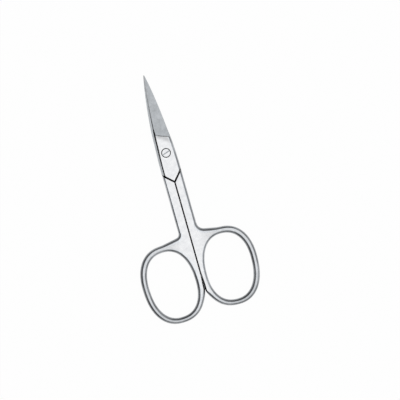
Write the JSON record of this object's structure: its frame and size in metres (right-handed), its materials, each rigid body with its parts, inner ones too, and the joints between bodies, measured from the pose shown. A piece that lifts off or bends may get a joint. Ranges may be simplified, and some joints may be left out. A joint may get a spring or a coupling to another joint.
{
  "type": "cuticle scissors",
  "caption": "Slim straight cuticle scissors: crossed steel halves with pointed ground blades, V-shaped lap-joint shoulders, a flush slotted pivot screw and oval finger rings.",
  "frame": {"origin": "on the pivot axis, in the plane of the underside that the scissors lie on", "axes": "+Y along the closed blades to the tips, +Z along the pivot out of the screw head, +X to the right as seen from the front"},
  "size_m": [0.0436, 0.0907, 0.003],
  "materials": {
    "half_steel": "satin ground stainless steel with brighter rounded edges",
    "screw_steel": "fine turned stainless steel"
  },
  "bodies": {
    "back": {"back_half": "half_steel", "pivot_screw": "screw_steel"},
    "front": {"front_half": "half_steel"}
  },
  "joints": [
    {"name": "blade_pivot", "type": "hinge", "parent": "back", "child": "front", "pos_m": [0, 0, 0], "axis": [0, 0, -1], "range_deg": [0, 125]}
  ]
}
